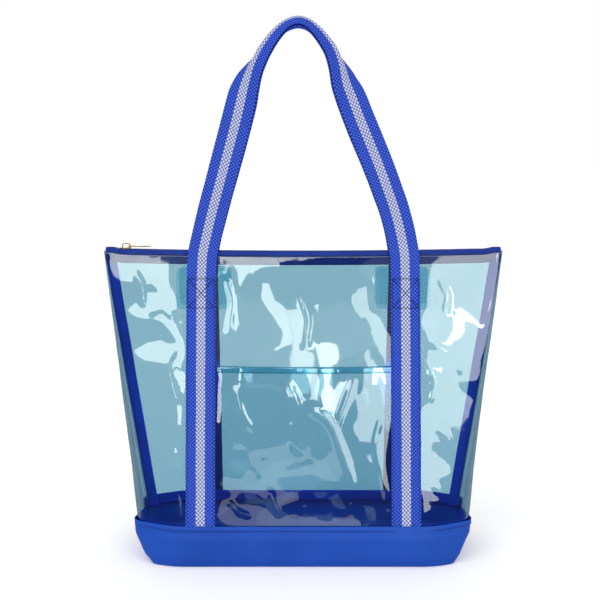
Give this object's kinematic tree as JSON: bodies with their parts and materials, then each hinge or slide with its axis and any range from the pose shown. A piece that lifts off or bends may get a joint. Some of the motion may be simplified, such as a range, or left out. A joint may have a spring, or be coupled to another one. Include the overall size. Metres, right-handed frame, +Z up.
{
  "type": "beach bag",
  "caption": "Zipped tote bag of clear tinted film on a boxed blue fabric base, with a front pocket and two long webbing handles.",
  "frame": {"origin": "middle of the base on the surface the bag stands on", "axes": "+X to the bag's right seen from its front, +Y from front to back, +Z up"},
  "size_m": [0.4788, 0.144, 0.6436],
  "materials": {
    "clear_film": "glossy transparent PVC film, tinted blue-teal",
    "pocket_film": "glossy transparent PVC film, tinted blue-teal",
    "patch_film": "clear film reinforcement",
    "base_fabric": "smooth coated royal blue fabric",
    "binding_tape": "woven binding tape, dark blue",
    "webbing": "ribbed webbing, royal blue with a grey-lavender stripe",
    "zipper_tape": "woven zipper tape, dark blue",
    "zipper_coil": "nylon coil",
    "zipper_metal": "antique brass, satin",
    "thread": "polyester sewing thread"
  },
  "bodies": {
    "bag": {"base_fabric": "base_fabric", "front_film_panel": "clear_film", "back_film_panel": "clear_film", "front_pocket_film": "pocket_film", "pocket_mouth_binding": "pocket_film", "side_binding_left": "binding_tape", "side_binding_right": "binding_tape", "base_binding_front": "binding_tape", "base_binding_back": "binding_tape", "front_patch_left": "patch_film", "front_patch_right": "patch_film", "back_patch_left": "patch_film", "back_patch_right": "patch_film", "front_handle_left_leg": "webbing", "front_handle_right_leg": "webbing", "back_handle_left_leg": "webbing", "back_handle_right_leg": "webbing", "zipper_tape_front": "zipper_tape", "zipper_tape_back": "zipper_tape", "zipper_coil_front": "zipper_coil", "zipper_coil_back": "zipper_coil", "zipper_end_stops": "zipper_metal", "handle_box_stitching": "thread", "handle_edge_stitching": "thread", "base_hem_stitching": "thread", "zipper_stitching": "thread", "pocket_mouth_stitching": "thread"},
    "slider": {"zipper_slider": "zipper_metal"},
    "pull": {"zipper_pull_tab": "zipper_metal"},
    "front_handle": {"front_handle_loop": "webbing"},
    "back_handle": {"back_handle_loop": "webbing"}
  },
  "joints": [
    {"name": "zipper_run", "type": "slide", "parent": "bag", "child": "slider", "axis": [1, 0, 0], "range_m": [0, 0.426]},
    {"name": "pull_swing", "type": "hinge", "parent": "slider", "child": "pull", "pos_m": [-0.2093, 0, 0.3745], "axis": [0, -1, 0], "range_deg": [0, 178]},
    {"name": "front_handle_swing", "type": "hinge", "parent": "bag", "child": "front_handle", "pos_m": [0, -0.01606, 0.341], "axis": [1, 0, 0], "range_deg": [0, 160]},
    {"name": "back_handle_swing", "type": "hinge", "parent": "bag", "child": "back_handle", "pos_m": [0, 0.01606, 0.341], "axis": [-1, 0, 0], "range_deg": [0, 160]}
  ]
}
